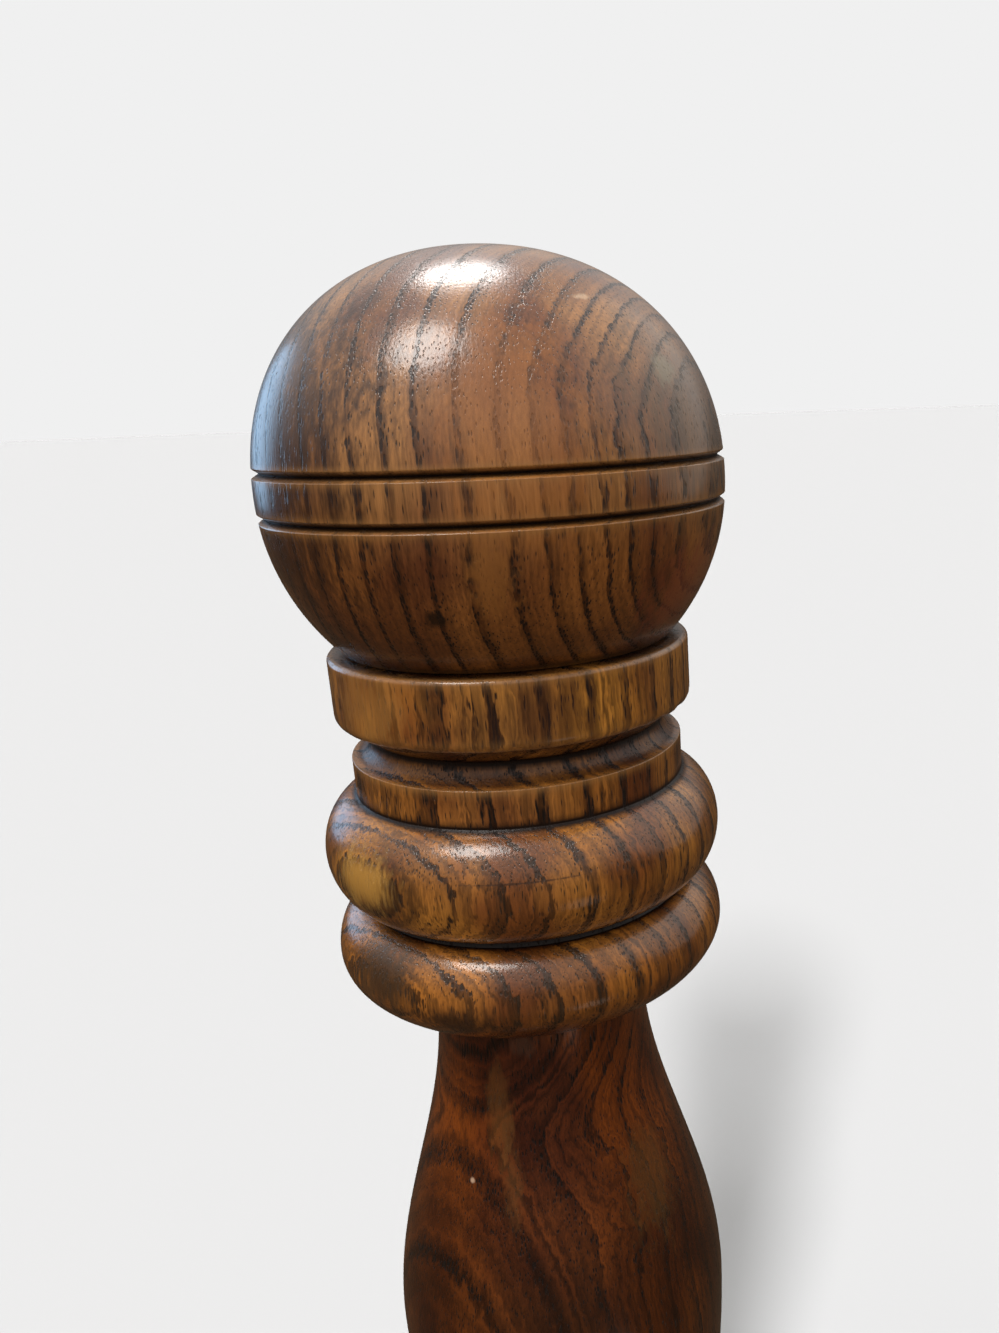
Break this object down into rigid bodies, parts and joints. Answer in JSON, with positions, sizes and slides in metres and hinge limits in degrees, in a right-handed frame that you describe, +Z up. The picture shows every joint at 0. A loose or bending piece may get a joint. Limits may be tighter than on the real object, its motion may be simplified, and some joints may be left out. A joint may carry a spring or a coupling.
{
  "type": "turned wood baluster",
  "caption": "Turned wooden baluster with a grooved ball finial, collar, torus mouldings, vase shaft and square block foot.",
  "frame": {"origin": "middle of the square block's underside", "axes": "+Z up along the turning axis, +X and +Y square to the block's sides"},
  "size_m": [0.09, 0.09, 0.5759],
  "materials": {
    "ball_wood": "dark brown stain under gloss varnish",
    "post_wood": "brown stain under gloss varnish, open ring-porous grain"
  },
  "bodies": {
    "root": {"ball_finial": "ball_wood", "turned_post": "post_wood"}
  },
  "joints": []
}
